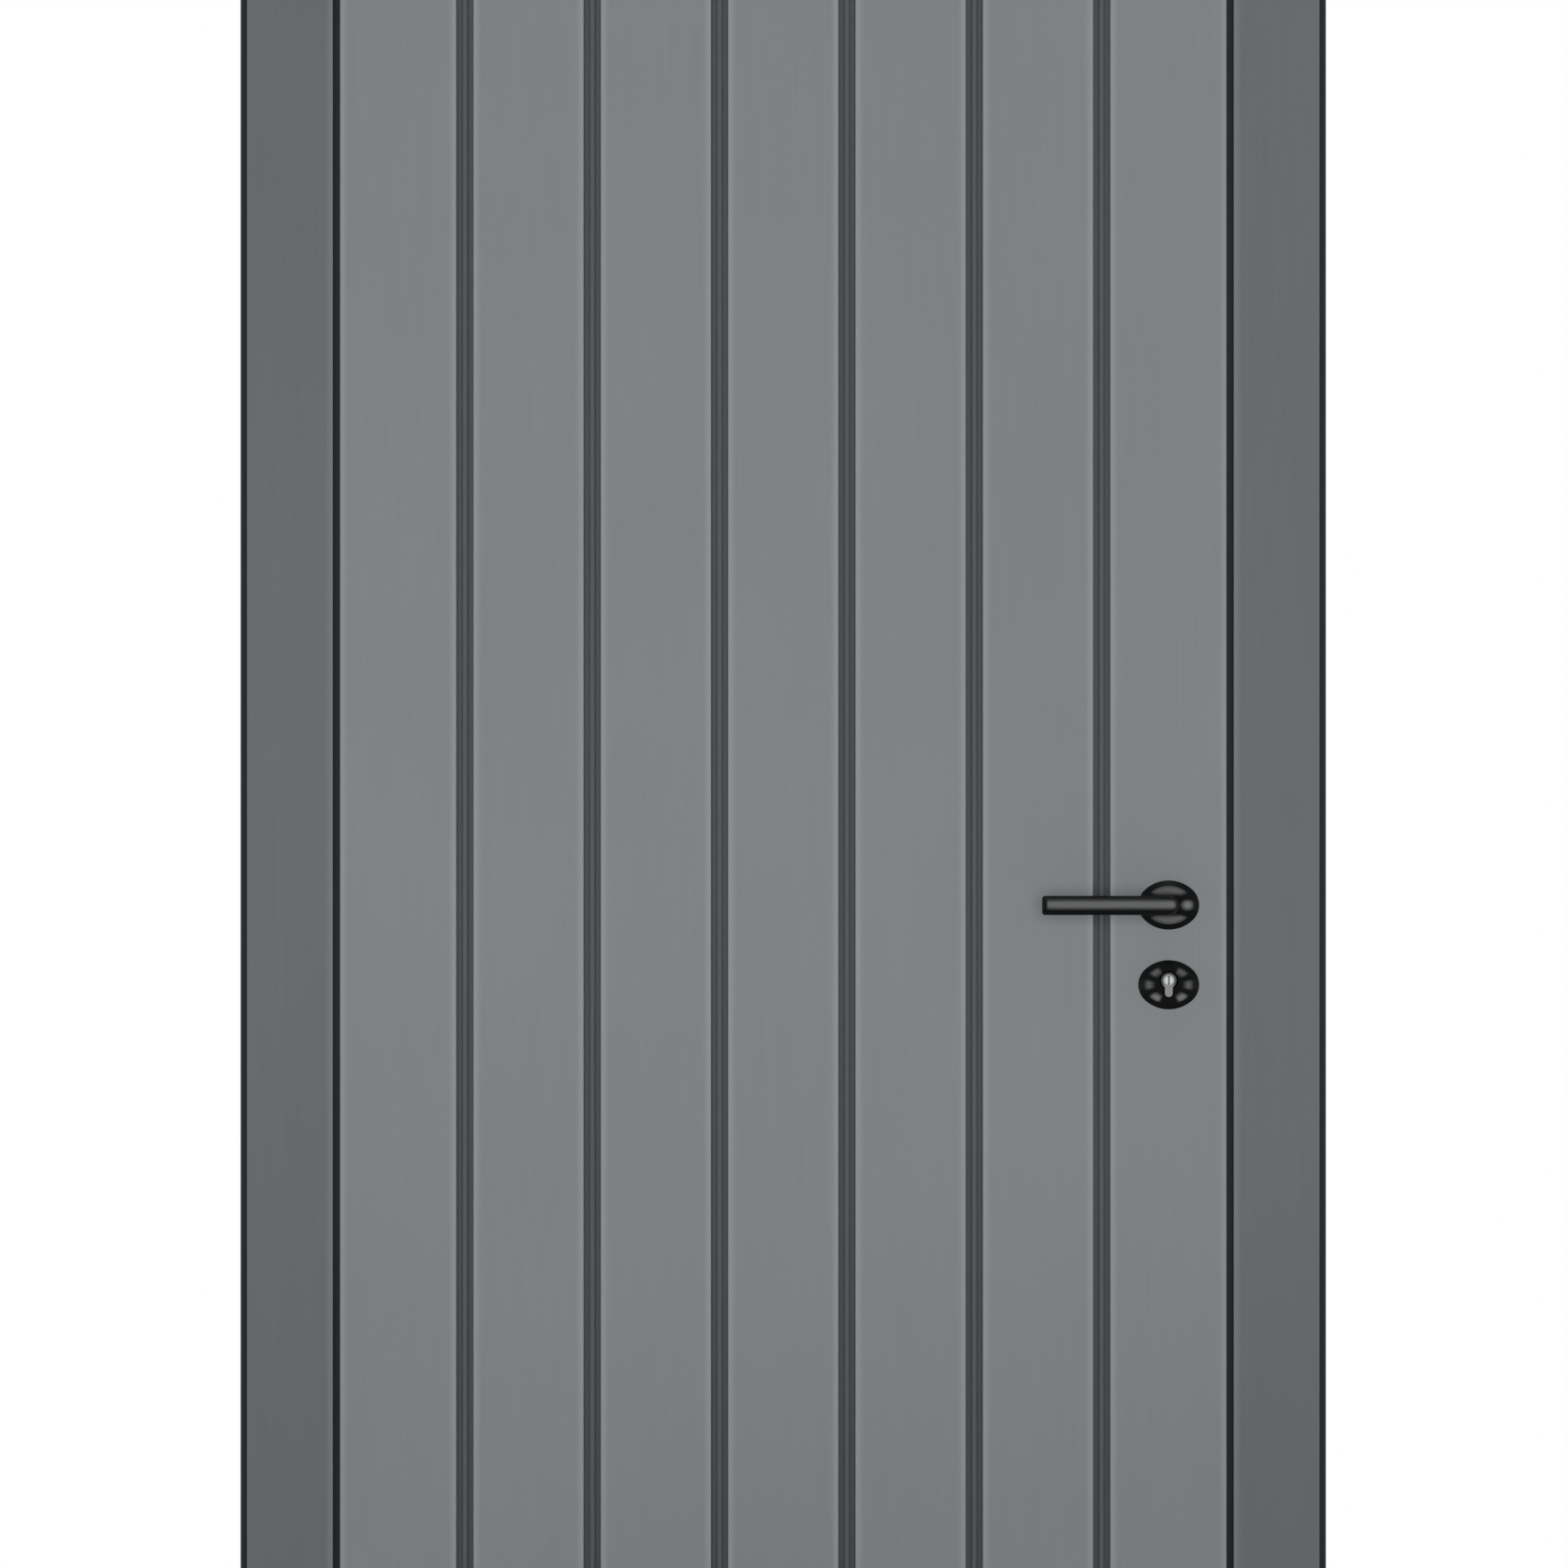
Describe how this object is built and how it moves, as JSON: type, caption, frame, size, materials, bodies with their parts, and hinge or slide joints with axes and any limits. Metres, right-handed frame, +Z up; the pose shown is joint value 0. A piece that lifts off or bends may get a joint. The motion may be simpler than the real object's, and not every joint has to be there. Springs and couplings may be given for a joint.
{
  "type": "front door",
  "caption": "Front door: rebated frame with a sill, leaf of upright boards on hinges, and a lever set over a key rose.",
  "frame": {"origin": "middle of the underside of the sill, halfway through the depth of the frame", "axes": "+X to the right seen from outside, +Y into the house, +Z up"},
  "size_m": [0.98, 0.2073, 2.08],
  "materials": {
    "board_paint": "matt grey lacquer on timber boards",
    "frame_paint": "matt darker grey lacquer on timber",
    "sill_metal": "anodised, satin",
    "seal_rubber": "black rubber",
    "black_hardware": "satin black coat",
    "steel": "satin stainless steel",
    "nickel": "nickel plate"
  },
  "bodies": {
    "frame": {"jamb_hinge_side": "frame_paint", "jamb_lock_side_lower": "frame_paint", "jamb_lock_side_middle": "frame_paint", "jamb_lock_side_upper": "frame_paint", "frame_head": "frame_paint", "threshold": "sill_metal", "frame_gasket": "seal_rubber", "strike_plate": "steel", "hinge_1_frame_flap": "black_hardware", "hinge_1_pin": "black_hardware", "hinge_2_frame_flap": "black_hardware", "hinge_2_pin": "black_hardware", "hinge_3_frame_flap": "black_hardware", "hinge_3_pin": "black_hardware"},
    "leaf": {"outer_board_1": "board_paint", "outer_board_2": "board_paint", "outer_board_3": "board_paint", "outer_board_4": "board_paint", "outer_board_5": "board_paint", "outer_board_6": "board_paint", "outer_board_7": "board_paint", "groove_strips": "frame_paint", "inner_boards": "board_paint", "stile_hinge_side": "frame_paint", "stile_lock_side": "frame_paint", "bottom_rail": "frame_paint", "top_rail": "frame_paint", "leaf_panel": "frame_paint", "lock_forend": "steel", "latch_bolt": "steel", "dead_bolt": "steel", "lock_cylinder": "nickel", "lever_rose_outside": "black_hardware", "key_rose_outside": "black_hardware", "lever_rose_inside": "black_hardware", "key_rose_inside": "black_hardware", "hinge_1_leaf_flap": "black_hardware", "hinge_2_leaf_flap": "black_hardware", "hinge_3_leaf_flap": "black_hardware"},
    "lever_set": {"lever_outside": "black_hardware", "lever_inside": "black_hardware", "lever_spindle": "steel"}
  },
  "joints": [
    {"name": "door_swing", "type": "hinge", "parent": "frame", "child": "leaf", "pos_m": [-0.422, 0.051, 1.05], "axis": [0, 0, 1], "range_deg": [0, 100]},
    {"name": "lever_turn", "type": "hinge", "parent": "leaf", "child": "lever_set", "pos_m": [0.348, 0, 1.05], "axis": [0, -1, 0], "range_deg": [0, 40], "stiffness_Nm_per_rad": 2, "springref_deg": -22.92}
  ]
}
